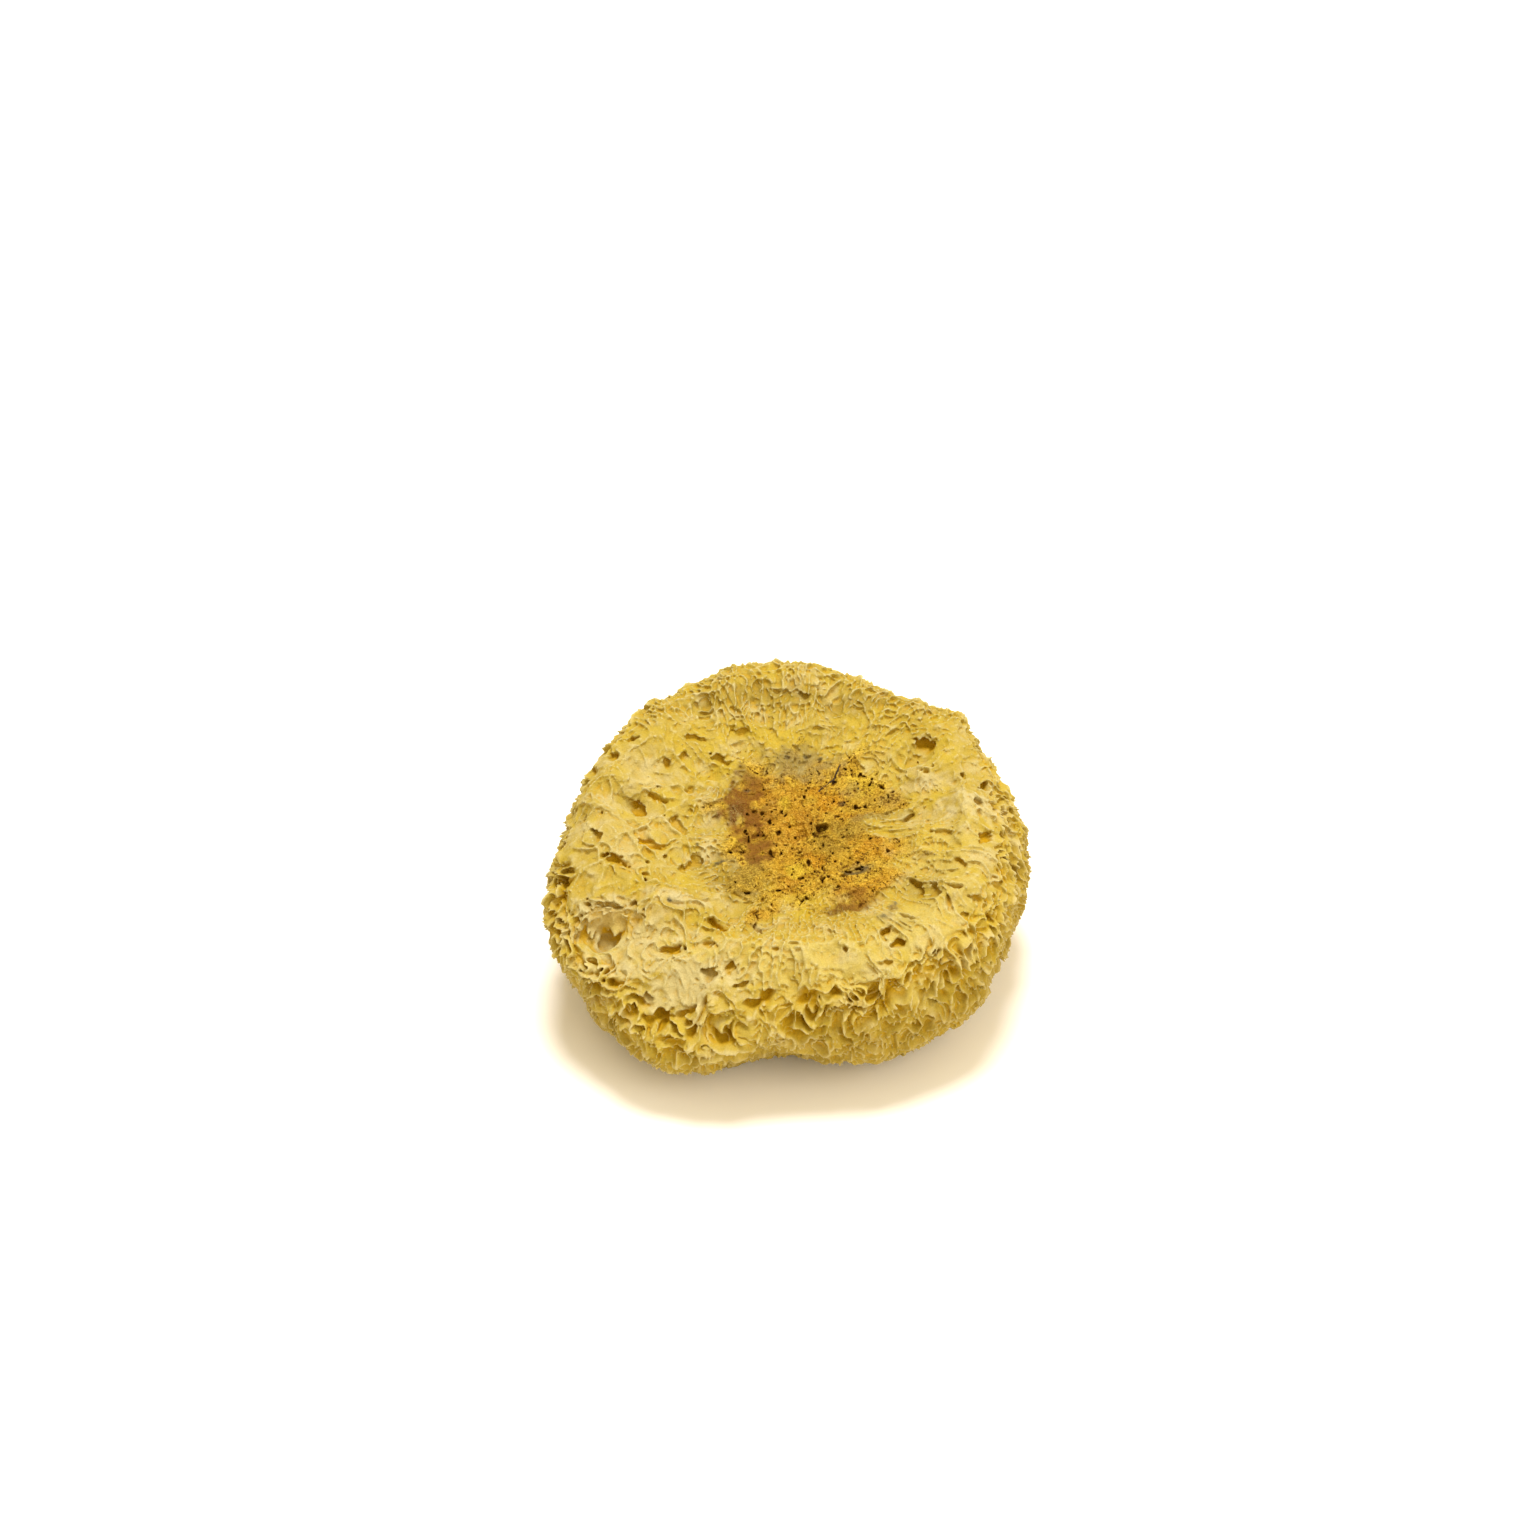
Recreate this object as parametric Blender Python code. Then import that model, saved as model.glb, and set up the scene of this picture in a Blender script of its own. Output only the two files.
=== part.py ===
"""A dried snow fungus head, lying on its lobed dome with the cut brown base facing up.

Metres, +Z up. The head rests on the plane z = 0, centred on the origin, and its base
face leans towards -Y. It is one grown piece, so it is one closed solid.
"""

import math

import bmesh
import bpy
from mathutils import Matrix, Vector, noise

MM = 0.001

# Driving dimensions, in millimetres and degrees
FACE_LEAN = 12.0  # the base face leans towards -Y by this angle
FACE_HEIGHT = 39.0  # height of the face's centre above the surface it lies on
DISH_DEPTH = 4.5  # the cut base lies this far below the face's plane
SCAR_CENTRE = (6.0, -3.0)  # the cut base's centre in the face, to the right and down
GRID_CUTS = 28  # cuts along each edge of the starting cube

# The outline every 30 degrees round the face, anticlockwise from +X
CREST_RADIUS = (36, 39, 38, 39, 37, 36, 37, 37, 36, 37, 38, 38)
CREST_HEIGHT = (0.5, 1.0, 1.5, 2.0, 1.5, 1.0, 0.5, -1.0, -3.0, -1.0, 0.0, 0.5)
EDGE_RADIUS = (44.5, 46.5, 41.5, 45.5, 43.5, 42.5, 44.5, 50, 51, 46, 47, 48.5)
EDGE_HEIGHT = (-4, -3, -4, -4, -4, -4, -5, -7, -10.5, -7, -4, -4)
EQUATOR_RADIUS = (49, 48, 44, 47.5, 46, 44.5, 46.5, 51, 54, 49.5, 51, 50)

# Stations of the profile from the face's centre to the dome's middle. A station is a
# share of the way round, and a depth is a share of the height above the surface.
SCAR_EDGE_STATION, SCAR_EDGE_RADIUS = 0.17, 20.0
RING_STATION, RING_RADIUS = 0.255, 30.0
CREST_STATION = 0.33
EDGE_STATION = 0.42
EQUATOR_STATION, EQUATOR_DEPTH = 0.53, 0.50
FLANK_STATION, FLANK_SHARE, FLANK_DEPTH = 0.65, 0.91, 0.83
FOOT_STATION, FOOT_SHARE, FOOT_DEPTH = 0.76, 0.66, 1.0
MIDDLE_DEPTH = 1.02

# Lobes that stand out of the flank: direction, half width, depth share, half depth,
# reach. Degrees, degrees, share, share, millimetres. A negative reach is a notch.
FLANK_LOBES = (
    (246, 15, 0.80, 0.35, 3.0),  # low lobe at the front left
    (270, 9, 0.80, 0.30, -2.4),  # notch beside it
    (292, 14, 0.75, 0.30, 1.6),
    (8, 13, 0.45, 0.30, 2.2),  # shoulder at the right
    (24, 7, 0.30, 0.30, -1.8),
    (37, 8, 0.15, 0.25, 2.4),  # corner of the rim at the back right
    (206, 10, 0.25, 0.25, 1.8),
    (316, 8, 0.60, 0.40, 1.6),
)

# Pits and swellings of the face: centre in the face, length, width, turn, height.
FACE_FORMS = (
    (-35.5, -28.5, 13.0, 8.0, 8.0, -5.0),  # the large hollow at the lower left
    (-24.0, -19.0, 15.0, 5.0, -5.0, 1.6),  # pale fold above it
    (-31.0, -38.0, 16.0, 7.0, 30.0, 1.8),  # thick folds below it
    (-14.0, -41.0, 12.0, 7.0, 70.0, 1.5),
    (26.0, 12.0, 16.0, 6.0, -38.0, 2.0),  # lip at the upper right of the base
    (33.0, 8.0, 6.0, 5.0, 0.0, -2.0),
    (-16.0, 28.0, 9.0, 5.0, 30.0, -1.6),
    (-30.0, 2.0, 10.0, 7.0, 80.0, -1.4),
    (2.0, -3.0, 7.0, 5.0, 20.0, -1.5),  # the dark hole in the middle
    (16.0, -18.0, 14.0, 5.0, 20.0, 1.2),
    (14.0, -40.0, 12.0, 6.0, 10.0, -1.4),
    (34.0, -20.0, 14.0, 6.0, -20.0, 1.2),
)

LOBE_SIZE = 9.0  # spacing of the frilled lobes on the flank and dome
LOBE_HEIGHT = 2.6
FOLD_WIDTH, FOLD_LENGTH = 8.5, 15.0  # folds of the face, which run out from the cut base
FOLD_DEPTH = 2.2
FOLD_RADIUS = 32.0  # distance from the cut base where the folds have that width
RIPPLE_SIZE = 7.0  # swellings of the whole face
RIPPLE_HEIGHT = 1.2

FUNGUS_YELLOW = (0.72, 0.56, 0.22, 1.0)


def round_the_head(values, angle):
    """The value at an angle, on a smooth closed curve through values at equal steps."""
    count = len(values)
    place = (angle / math.tau * count) % count
    step = int(place)
    share = place - step
    before, start, end, after = (values[(step + k) % count] for k in (-1, 0, 1, 2))
    return hermite(start, end, (end - before) / 2, (after - start) / 2, share)


def hermite(start, end, leave, arrive, share):
    """A cubic from start to end with the given slopes."""
    square, cube = share**2, share**3
    return (
        (2 * cube - 3 * square + 1) * start
        + (cube - 2 * square + share) * leave
        + (3 * square - 2 * cube) * end
        + (cube - square) * arrive
    )


def along_profile(stations, values, place):
    """The value at a station, on a smooth curve that never overshoots its ends."""
    last = len(stations) - 2
    step = min(last, max(i for i in range(last + 1) if stations[i] <= place))
    width = stations[step + 1] - stations[step]

    def slope(i):
        if i in (0, len(stations) - 1):
            return 0.0
        return (values[i + 1] - values[i - 1]) / (stations[i + 1] - stations[i - 1])

    share = (place - stations[step]) / width
    leave, arrive = slope(step) * width, slope(step + 1) * width
    return hermite(values[step], values[step + 1], leave, arrive, share)


def bump(x, y, length, width, turn):
    """1 at the middle of an ellipse, falling smoothly to 0 at about its edge."""
    angle = math.radians(turn)
    along = x * math.cos(angle) + y * math.sin(angle)
    across = y * math.cos(angle) - x * math.sin(angle)
    return math.exp(-2.5 * ((2 * along / length) ** 2 + (2 * across / width) ** 2))


def depth_to_surface(v):
    """How far below the face's plane the resting surface lies, at a place up the face."""
    lean = math.radians(FACE_LEAN)
    return (FACE_HEIGHT + v * math.sin(lean)) / math.cos(lean)


def head_point(direction):
    """The smooth head's point for a direction of the unit sphere, in the face's frame."""
    angle = math.atan2(direction.y, direction.x)
    place = math.acos(max(-1.0, min(1.0, direction.z))) / math.pi
    equator = round_the_head(EQUATOR_RADIUS, angle)
    stations = (
        0.0,
        SCAR_EDGE_STATION,
        RING_STATION,
        CREST_STATION,
        EDGE_STATION,
        EQUATOR_STATION,
        FLANK_STATION,
        FOOT_STATION,
        1.0,
    )
    radii = (
        0.0,
        SCAR_EDGE_RADIUS,
        RING_RADIUS,
        round_the_head(CREST_RADIUS, angle),
        round_the_head(EDGE_RADIUS, angle),
        equator,
        equator * FLANK_SHARE,
        equator * FOOT_SHARE,
        0.0,
    )
    radius = along_profile(stations, radii, place)
    crest = round_the_head(CREST_HEIGHT, angle)
    tops = (
        -DISH_DEPTH,
        -DISH_DEPTH * 0.85,
        crest * 0.4 - DISH_DEPTH * 0.3,
        crest,
        round_the_head(EDGE_HEIGHT, angle),
    )
    v = radius * math.sin(angle)
    floor = depth_to_surface(v)
    lows = (-EQUATOR_DEPTH, -FLANK_DEPTH, -FOOT_DEPTH, -MIDDLE_DEPTH)
    heights = tops + tuple(share * floor for share in lows)
    height = along_profile(stations, heights, place)
    turn = math.degrees(angle)
    for towards, half, depth, half_depth, reach in FLANK_LOBES:
        off = (turn - towards + 180) % 360 - 180
        down = -height / floor - depth
        radius += reach * math.exp(-((off / half) ** 2) - (down / half_depth) ** 2)
    # The dished middle is centred on the cut base, which isn't in the face's middle.
    shift = max(0.0, 1 - place / CREST_STATION)
    u = radius * math.cos(angle) + shift * SCAR_CENTRE[0]
    v = radius * math.sin(angle) + shift * SCAR_CENTRE[1]
    return Vector((u, v, height)), place


def fold_hollow(point):
    """How hollow the face is between its folds at a point, from 0 on a fold's crest to 1.

    The hollows are the cells of a Voronoi pattern, drawn out away from the cut base.
    """
    out = Vector((point.x - SCAR_CENTRE[0], point.y - SCAR_CENTRE[1], 0))
    ring = out.normalized() * (FOLD_RADIUS / FOLD_WIDTH)
    ring.z = out.length / FOLD_LENGTH
    nearest, second = noise.voronoi(ring)[0][:2]
    beyond_scar = smooth_step(12, 24, out.length)
    return beyond_scar * smooth_step(0.0, 0.9, second - nearest)


def relief(point, place):
    """How far the folds and lobes stand out of the smooth head at a point."""
    on_face = 1 - smooth_step(EDGE_STATION - 0.05, EQUATOR_STATION - 0.02, place)
    height = 0.0
    for u, v, length, width, turn, reach in FACE_FORMS:
        height += on_face * reach * bump(point.x - u, point.y - v, length, width, turn)
    height -= on_face * FOLD_DEPTH * fold_hollow(point)
    height += on_face * RIPPLE_HEIGHT * noise.noise(point / RIPPLE_SIZE)
    nearest = noise.voronoi(point / LOBE_SIZE)[0][0]
    lobes = LOBE_HEIGHT * (0.30 - nearest**2)
    return height + (1 - on_face) * lobes


def smooth_step(low, high, value):
    share = min(1.0, max(0.0, (value - low) / (high - low)))
    return share * share * (3 - 2 * share)


def rest_on_surface(bm):
    """Lobes that reach below the resting surface are pressed flat on it."""
    for vertex in bm.verts:
        vertex.co.z = max(0.0, vertex.co.z)


def centre_on_origin(bm):
    """Moves the head so that its box is centred on the Z axis, and says by how much."""
    across = [vertex.co.x for vertex in bm.verts]
    along = [vertex.co.y for vertex in bm.verts]
    middle = Vector((min(across) + max(across), min(along) + max(along), 0)) / 2
    bmesh.ops.translate(bm, vec=-middle, verts=bm.verts)
    print("The face's centre is over", [round(-c, 3) for c in middle[:2]], "mm")


def make_head():
    bm = bmesh.new()
    bmesh.ops.create_cube(bm, size=2.0)
    bmesh.ops.subdivide_edges(bm, edges=bm.edges, cuts=GRID_CUTS, use_grid_fill=True)
    places = {}
    for vertex in bm.verts:
        # The tangent spreads the cube's grid evenly over the sphere.
        spread = Vector(math.tan(c * math.pi / 4) for c in vertex.co)
        vertex.co, places[vertex] = head_point(spread.normalized())
    bm.normal_update()
    moves = {v: v.normal * relief(v.co, places[v]) for v in bm.verts}
    for vertex, move in moves.items():
        vertex.co += move
    lean = Matrix.Rotation(math.radians(FACE_LEAN), 4, "X")
    bm.transform(Matrix.Translation((0, 0, FACE_HEIGHT)) @ lean)
    rest_on_surface(bm)
    centre_on_origin(bm)
    bm.transform(Matrix.Scale(MM, 4))
    bmesh.ops.triangulate(bm, faces=bm.faces)
    mesh = bpy.data.meshes.new("snow_fungus")
    bm.to_mesh(mesh)
    bm.free()
    mesh.shade_smooth()
    return mesh


def fungus_material():
    material = bpy.data.materials.new("dried_fungus")
    material.use_nodes = True
    shader = material.node_tree.nodes["Principled BSDF"]
    shader.inputs["Base Color"].default_value = FUNGUS_YELLOW
    shader.inputs["Roughness"].default_value = 0.62
    shader.inputs["Metallic"].default_value = 0.0
    return material


def main():
    for obj in list(bpy.data.objects):
        bpy.data.objects.remove(obj, do_unlink=True)
    collection = bpy.data.collections.new("Snow fungus")
    bpy.context.scene.collection.children.link(collection)
    head = bpy.data.objects.new("snow_fungus", make_head())
    head.data.materials.append(fungus_material())
    collection.objects.link(head)


main()
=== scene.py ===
"""The looks of a dried snow fungus head: frilled lobes, folded face and porous cut base.

The fine surface is the zero level of a field on a fine grid. The field is the distance to
the CAD solid, with the hollows between thin lobes, folds and pores cut into it, so that
the tips of the lobes stay on the solid. Lengths are in millimetres unless a comment
says otherwise, and the mesh is scaled to metres at the end.
"""

import math

import bpy
import numpy as np
import openvdb
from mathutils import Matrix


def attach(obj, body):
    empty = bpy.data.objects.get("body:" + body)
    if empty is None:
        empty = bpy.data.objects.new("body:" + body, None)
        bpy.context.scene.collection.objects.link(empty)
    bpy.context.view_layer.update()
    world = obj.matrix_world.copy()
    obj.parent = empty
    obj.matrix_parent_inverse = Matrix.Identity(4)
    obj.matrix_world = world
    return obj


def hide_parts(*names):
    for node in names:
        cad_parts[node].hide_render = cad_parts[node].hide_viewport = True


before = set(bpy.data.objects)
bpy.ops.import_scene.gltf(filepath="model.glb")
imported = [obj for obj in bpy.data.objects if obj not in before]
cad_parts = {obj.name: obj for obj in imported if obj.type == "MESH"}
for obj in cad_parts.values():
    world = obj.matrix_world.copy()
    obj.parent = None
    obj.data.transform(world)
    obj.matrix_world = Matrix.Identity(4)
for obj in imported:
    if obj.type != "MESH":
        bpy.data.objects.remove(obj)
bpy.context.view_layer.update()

MM = 0.001
SEED = 20

# The head's frame, as in the part: u to the right, v up the face, w out of the face
FACE_LEAN = math.radians(12.0)
FACE_CENTRE = np.array((-1.429, -2.592, 39.0))
SCAR_CENTRE = np.array((6.0, -3.0))
SCAR_RADII = np.array((19.0, 21.0))
SCAR_PLACE = (4.57, -5.53)  # the cut base's centre in the row's frame, seen from above
FIBRE_RADIUS = 26.0  # distance from there where the fibres have their full width

# The camera of the photograph
LENS_MM = 60.0
SENSOR_MM = 36.0
CAMERA_PITCH = math.radians(34.8)
CAMERA_PLACE = np.array((-4.646, -413.872, 334.09))

# The studio: colours are red, green and blue, and each lamp points at the origin
SKY_COLOUR = (1.0, 0.86, 0.58)
SKY_STRENGTH = 0.93
FLOOR_COLOUR = (0.97, 0.94, 0.90)
FLOOR_SIZE = 6.0  # metres
# Lamps: name, place in metres, size in metres, watts and colour
LAMPS = (
    ("key", (0.0, 0.2, 0.97), 0.38, 10.15, (0.98, 0.98, 1.0)),
    ("fill", (0.62, -0.64, 0.58), 1.0, 5.1, (1.0, 0.97, 0.90)),
)

VOXEL = 0.25
BAND_IN = 5.5  # depth of the field below the solid's surface
BAND_OUT = 1.0
CORE_DEPTH = 4.8  # no hollow is deeper than this
# Hollows run this way, in the head's frame, as they deepen
SLANT_ON_TOP = np.array((0.0, 0.65, 0.4))
SLANT_ON_SIDE = np.array((0.0, 0.1, 0.75))
MOST_TRIANGLES = 940_000
TURN = 400_000  # the most points worked on at once

# The face's edge every 30 degrees round the head, anticlockwise from +X, as in the part
EDGE_RADIUS = (44.5, 46.5, 41.5, 45.5, 43.5, 42.5, 44.5, 50, 51, 46, 47, 48.5)
EDGE_HEIGHT = (-4, -3, -4, -4, -4, -4, -5, -7, -10.5, -7, -4, -4)

# Sizes of the relief
LOBE_PITCH = 2.15
LOBE_CELL = 3.0
FRILL_PITCH = 1.15  # of the fine frills on the lobes
FACET = 4.3  # width of the left ring's smooth facets
SMALL_FACET = 2.2
# How many folds of a kind there are round the cut base or the head
STREAKS_ROUND = 80
FINE_STREAKS_ROUND = 180
FLUTES_ROUND = 112
ROPES_ROUND = 32

# Pits of the face: place u, v, half its length, half its width, turn in degrees and depth
PITS = (
    (-34, -26.6, 7.6, 3.3, -4, 1.9),  # the large hollow at the lower left
    (-35.8, -28.4, 4.6, 1.5, 4, 1.6), (-35, -23.2, 4.6, 0.9, -6, 2), (-29.5, -25.6, 2.6, 0.9, -24, 0.9),
    (28, 17.6, 2.1, 1.3, -19, 2.8), (-33, -13.6, 3.3, 1.4, -17, 2.6),
    (-13.2, -27.6, 2.6, 1.7, -25, 2.6), (4.6, 30.2, 1.8, 0.9, -7, 2), (-12.8, 15.4, 2.4, 1.1, -31, 2),
    (-24.8, 3.9, 2.9, 1.4, -20, 2.5), (-18.5, -11.5, 2.6, 1, 52, 1.8), (-29.1, 2, 2.4, 1, -42, 2.2),
    (-25.6, -8.3, 3.6, 1.3, -17, 2), (-20.2, -1.6, 2.7, 1.3, -43, 1.8), (-37.3, -7.6, 2.4, 0.9, -59, 2),
    (-23.4, 12.9, 1.8, 1.1, -29, 2), (-19.8, 15.1, 2, 0.8, 16, 1.8), (-31.2, 18.6, 2.7, 1.1, -5, 2),
    (-35.2, 14.7, 2.2, 1.1, -44, 2), (-18.1, 20, 2.6, 0.9, -10, 1.8), (-8.9, 22.4, 1.8, 0.8, -17, 1.8),
    (24.5, 0.3, 1.8, 0.7, 31, 2), (39.3, 0.8, 1.5, 1, -40, 2), (41, 6.8, 2.4, 1.2, 38, 2.5),
    (40, -7.1, 2.4, 1.4, 38, 2.2), (37.3, -23.8, 2.1, 1.1, -5, 2), (36, 8.8, 1.7, 0.8, 40, 2),
    (32.5, -21.2, 2.1, 1.1, -12, 2), (31.2, -24.7, 2.3, 0.7, -59, 2), (27.8, -20.6, 2.6, 0.8, -73, 2),
    (25.2, -18.8, 2.3, 0.8, -69, 2.2), (18.8, -32, 1.6, 1.2, 31, 2.6), (21.3, -34.2, 1.4, 1.2, 3, 2.6),
    (23.6, -27.2, 1.5, 0.8, -43, 2), (33.8, -14.8, 2.4, 0.8, -37, 2), (27.6, 10, 1.9, 1.2, -35, 2),
    (35.1, -27.6, 1.8, 0.8, -35, 1.6), (31.1, -5.8, 2.3, 1, -21, 1.6), (-22.1, -32.5, 2.4, 1.4, 3, 2.4),
    (-14.7, -38.6, 1.9, 1.6, 23, 2.4), (-10.3, -38.3, 1.3, 1.1, 1, 2), (-8.3, -41.4, 1.7, 0.9, 13, 2),
    (-2.3, -35.4, 1.1, 0.7, -45, 1.8), (10.9, -36.3, 1.1, 0.6, -71, 1.8), (-4.9, -27.7, 2, 0.5, -85, 2),
    (18.9, -39, 2, 1.1, 15, 1.8), (26.6, -39.3, 3, 1.8, 28, 1.6), (-15, -32.4, 2.2, 0.9, -43, 1.8),
    (7.7, -1.5, 1.5, 1, 35, 2.8),  # the dark hole in the cut base
    (13, -13.1, 2.2, 0.5, 25, 0.9),
)
# Pockets of the rim and flank: place u, v, w, radius and depth
POCKETS = (
    (-3.6, -43.7, -5.4, 2, 2.5), (-6.6, -45, -6.8, 2, 2.5), (-23.6, -44.4, -10.7, 1.6, 2.5),
    (-20.6, -44.8, -10.1, 1.2, 2), (3.2, -44.2, -5.4, 1.8, 2.5), (9.5, -44.4, -4.8, 1.6, 2.5),
    (20.2, -42.9, -5, 1.8, 2.5), (-25.6, -41, -9.4, 1.3, 2), (-17.9, -49.2, -11.1, 1.6, 2),
    (26.5, -41.4, -8.9, 1.3, 2), (-33.6, -38.5, -8.1, 1.4, 2), (-11.3, -50, -11.6, 1.8, 2),
    (15.9, -46.5, -8.5, 1.6, 2), (31.3, -38.9, -7.6, 1.3, 2), (-44.1, -20.5, -5.9, 1.3, 2),
)

# Stains of the face, and painted shade on the far rim's inner slope in OLIVE: place u, v, half widths
# across and up, and strength
ORANGE = (
    (-1, 3, 8.5, 8, 0.5), (2, -9, 9, 7, 0.35), (-3.8, 6, 2.6, 4.7, 0.7), (2.6, 3.8, 4, 3.3, 0.6),
    (9.2, 5.7, 2.2, 2.7, 1), (6, -10.6, 2.8, 1.9, 1), (17.3, -6.3, 4, 3, 0.8),
    (20.6, -8.7, 1.6, 1.6, 0.7), (15.8, -18, 4.4, 3, 0.7), (1.1, -15.3, 3.2, 2.7, 0.6),
    (3.1, -0.2, 3.6, 3.6, 0.8), (-7.7, -12.4, 2.8, 1.6, 0.4), (-5.3, -23.4, 1.8, 2.2, 0.6),
    (-1.3, -21.7, 1.8, 1.4, 0.7), (6.6, 8, 1.8, 1.4, 0.8), (12.1, 1.8, 2, 1.1, 0.6),
    (1.4, -27.4, 8, 2.4, 0.3), (20.5, -16.3, 2.4, 2.5, 0.5),
)
RUSSET = (
    (-2.6, -1.6, 6, 7, 0.35), (-2, 8, 5, 4, 0.3), (3.8, 0.7, 2.8, 2.7, 0.7), (0.1, -4.2, 4, 2.7, 0.6),
    (-3.8, 0.5, 1.8, 3.8, 0.8), (14.2, -19.6, 3, 2.2, 0.9), (-4.8, 8.7, 1.6, 2.2, 0.5),
    (-7.8, -3.5, 2, 1.9, 0.5), (16.7, -6, 2, 1.6, 0.4), (1.1, -16.4, 1.6, 1.6, 0.4),
    (3.1, -8, 2.4, 1.1, 0.5),
)
PURPLE = (
    (-8.4, 3.4, 3.8, 6.2, 1), (-7.6, 9.8, 3, 3.4, 0.75), (-3, 3.6, 2.6, 3.6, 0.3),
    (-6.8, 8.6, 2, 2.2, 0.8), (-6.9, 12.1, 2.2, 2.5, 0.55), (-5.6, -6.2, 2.8, 3.2, 0.95),
    (14.2, -20, 3.4, 1.9, 0.55), (11.6, -22.9, 3.6, 0.8, 0.9), (9.1, -24.1, 1.2, 0.7, 0.8),
    (27.5, -10.3, 1.6, 0.8, 0.5), (20.5, -24.9, 1, 1.1, 0.5),
)
GREY = (
    (2.9, 15.6, 6.6, 3.6, 0.9), (0.4, 13.9, 3.2, 1.9, 0.5), (6.3, 13.3, 2.4, 2.2, 0.5),
    (12.9, 8.7, 1.8, 1.6, 0.6), (17.5, 1.5, 4, 1, 0.6), (20.8, 5.2, 2, 1.9, 0.4),
    (23.1, 1.3, 2.8, 1.1, 0.35), (-7.9, 13.3, 1.8, 2.2, 0.5), (14.4, -12, 2.4, 0.8, 0.7),
    (-9.7, -10.2, 2, 1.1, 0.3), (18.9, -27.5, 1.6, 1.4, 0.6), (21.4, -23.2, 1.2, 1.6, 0.6),
    (-7.1, -18.2, 2, 0.5, 0.6), (22.8, -29, 2, 1.6, 0.3),
)
OLIVE = (
    (-8.7, -14.3, 6, 4.4, 1), (13.1, -1.6, 4.4, 2.2, 0.8), (9, -6.4, 2.4, 1.9, 0.7),
    (3.2, 11.9, 2.4, 1.9, 0.6), (-3.8, -11, 2.4, 1.6, 0.5), (-14.4, 5.5, 1.8, 4.4, 0.2),
    (-15.5, -2.8, 1.6, 2.7, 0.4), (17.2, 5.7, 3.6, 2.7, 0.3), (27.1, -18.7, 3.2, 3.3, 0.5),
    # The three patches on the next line lie on the far rim's inner slope, which gets little light from
    # above: their olive is painted shade.
    (0.3, 30.9, 9.6, 2.2, 0.8), (15.7, 28.9, 8.4, 2.2, 0.7), (-14.1, 29.4, 6, 2.2, 0.4),
    (27.3, 21.2, 2.8, 3.3, 0.4),
)
BLUE_GREY = (
    (13.4, -12.9, 2, 0.4, 0.9), (15, -12.1, 1, 0.5, 0.8), (-12.2, -10, 0.8, 0.4, 1),
    (-13.4, -10.5, 0.4, 0.3, 0.9), (-21.8, -23, 0.4, 0.4, 1), (-14, -11, 0.4, 0.3, 0.8),
    (-17, -6.9, 0.3, 0.5, 0.9), (-7.2, 8.5, 0.8, 0.3, 0.7), (-8.9, 9.4, 0.3, 0.5, 0.8),
    (-5.8, 4, 0.3, 0.4, 0.8), (11.6, 5.2, 0.6, 0.5, 0.8), (-14.1, -17.7, 0.3, 0.4, 0.6),
    (0.8, 17, 0.6, 0.4, 0.7), (4.5, 18, 0.4, 0.4, 0.7), (7.2, 17.2, 0.6, 0.4, 0.7),
    (18.7, -27.2, 0.6, 0.4, 0.6), (21.4, -21.9, 0.3, 0.8, 0.6),
)
YELLOW = (
    (-13.4, 14.8, 6, 3.3, 0.7), (-2.8, 21.4, 8, 2.5, 0.8), (14.5, 19.6, 6, 1.9, 0.6),
    (-0.2, 4.8, 1, 1.6, 0.8), (2.5, -12.7, 1.8, 1.6, 0.9), (17, 10.8, 4, 2.7, 0.5),
    (3, -21.3, 5, 2.2, 0.6), (-3.8, 16.3, 1.6, 1.6, 0.5), (29.4, -10, 5.2, 2.2, 0.6),
    (31.5, 16.1, 3.6, 2.5, 0.5), (34.3, -27.9, 4, 1.9, 0.4), (-19.3, -16.7, 4.4, 1.4, 0.4),
    (-8.7, -5.1, 1.6, 1.4, 0.5), (23.6, -10.7, 2, 2.2, 0.5), (-34.2, 17.2, 3.6, 2.2, 0.4),
)
WHITE = (
    (37.7, 1.1, 6, 2.7, 0.9), (29.2, 7.5, 5.2, 1.4, 0.7), (-21.7, -22.3, 5.2, 1.4, 1),
    (-15.2, -6.1, 1.6, 3.3, 0.9), (-25.9, -21.6, 2.8, 1.1, 0.7), (-16.9, -22.6, 3.2, 1.1, 0.8),
    (-29, 11.5, 6, 3.8, 0.35), (-30, -5, 9, 8, 0.3), (-14.8, 3.5, 2, 4, 0.6),
    (-18, -39.3, 7.8, 4.6, 0.8), (-35.5, -25, 7, 3.4, 0.9), (-26.8, -28.9, 6, 3.5, 0.7),
    (-12.5, -18.7, 1.2, 1.9, 0.6), (24.4, 11.4, 4.4, 1.1, 0.4), (38.9, -13.8, 3.2, 2.7, 0.4),
    (-4.8, -26.3, 0.8, 0.5, 0.6), (-27.6, -34.4, 7.8, 3.6, 0.7), (10.5, -11.4, 1.2, 0.8, 0.5),
)
CREAM = (
    (0.9, -36.2, 14, 6, 1), (16, -38.5, 12, 4.4, 1), (-16.1, -35.4, 10, 6, 1),
    (33.2, -11.4, 8, 11, 0.6), (27.6, -28, 9, 6, 0.9), (-33.5, -30.7, 8, 3.8, 0.7),
    (19.4, 13.4, 8, 5.5, 0.4), (2.9, -30.3, 12, 1.8, 0.4), (21.7, -33.3, 10, 3.8, 0.9),
)
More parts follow.
